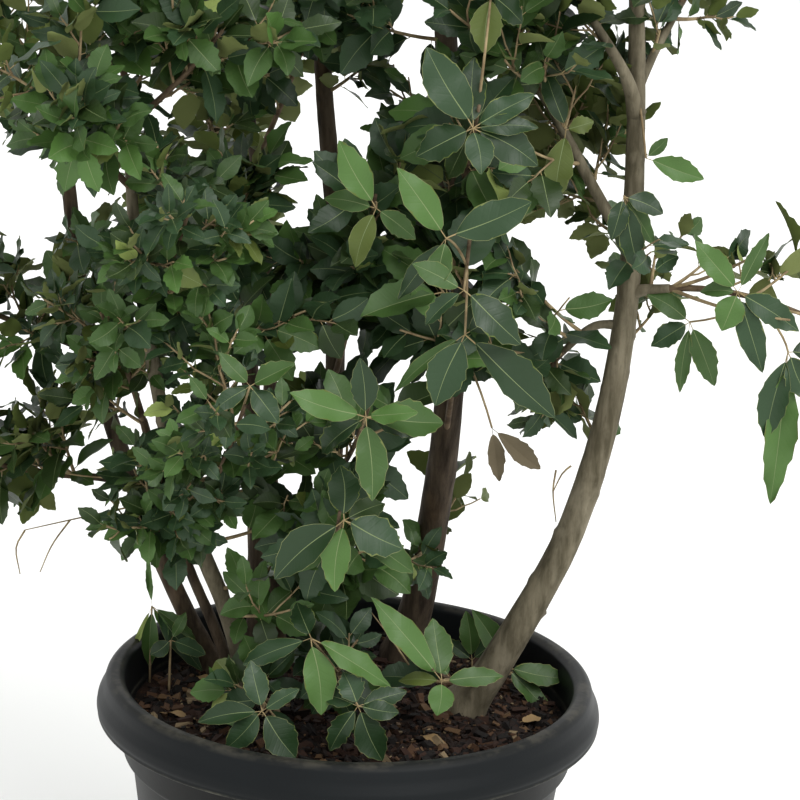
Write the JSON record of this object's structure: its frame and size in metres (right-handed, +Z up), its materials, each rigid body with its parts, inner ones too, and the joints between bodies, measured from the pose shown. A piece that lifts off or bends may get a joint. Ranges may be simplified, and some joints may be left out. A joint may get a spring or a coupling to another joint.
{
  "type": "potted holm oak",
  "caption": "Young evergreen holm oak, a clump of slim stems from one root with leathery toothed leaves, in a round black plastic nursery pot.",
  "frame": {"origin": "middle of the pot's flat underside", "axes": "+Z up along the stems; the picture looks along +Y, with +X to the right; the strongly curved stem stands on +X"},
  "size_m": [0.9903, 0.682, 1.7729],
  "materials": {
    "pot_plastic": "moulded, dusty and scuffed",
    "compost": "loose bark compost",
    "bark": "finely fissured bark",
    "foliage": "leathery, satin above, matt below"
  },
  "bodies": {
    "root": {"pot": "pot_plastic", "soil": "compost", "stem_far_left": "bark", "stem_thin": "bark", "stem_front_left": "bark", "stem_dark": "bark", "stem_rear": "bark", "stem_middle": "bark", "stem_tall": "bark", "stem_right": "bark", "bough_tall_side": "bark", "bough_right_inner": "bark", "bough_right_left_fork": "bark", "bough_right_right_fork": "bark", "bough_right_low": "bark", "bough_right_side": "bark", "bough_left_upper": "bark", "bough_left_lower": "bark", "leaves_foot_left": "foliage", "leaves_foot_middle": "foliage", "leaves_foot_right": "foliage", "leaves_foot_rear": "foliage", "leaves_low_front": "foliage", "leaves_mid_front": "foliage", "leaves_centre": "foliage", "leaves_front_high": "foliage", "leaves_inner": "foliage", "leaves_twiggy": "foliage", "leaves_twiggy_low": "foliage", "leaves_thin_tip": "foliage", "leaves_left_shoot": "foliage", "leaves_upper_left": "foliage", "leaves_upper_inner": "foliage", "leaves_front_left_tip": "foliage", "leaves_far_left_high": "foliage", "leaves_side_upper": "foliage", "leaves_side_lower": "foliage", "leaves_dark_middle": "foliage", "leaves_rear_low": "foliage", "leaves_rear_high": "foliage", "leaves_middle_high": "foliage", "leaves_tall_rear": "foliage", "leaves_inner_bough": "foliage", "leaves_inner_tip": "foliage", "leaves_left_fork": "foliage", "leaves_right_fork": "foliage", "leaves_right_low": "foliage", "leaves_right_side": "foliage", "leaves_far_left_tip": "foliage", "leaves_dark_tip": "foliage", "leaves_rear_tip": "foliage", "leaves_middle_tip": "foliage", "leaves_tall_tip": "foliage", "leaves_tall_side": "foliage", "leaves_right_tip": "foliage", "leaves_crown_front": "foliage", "leaves_crown_rear": "foliage", "leaves_crown_right": "foliage", "leaves_crown_left": "foliage"}
  },
  "joints": []
}
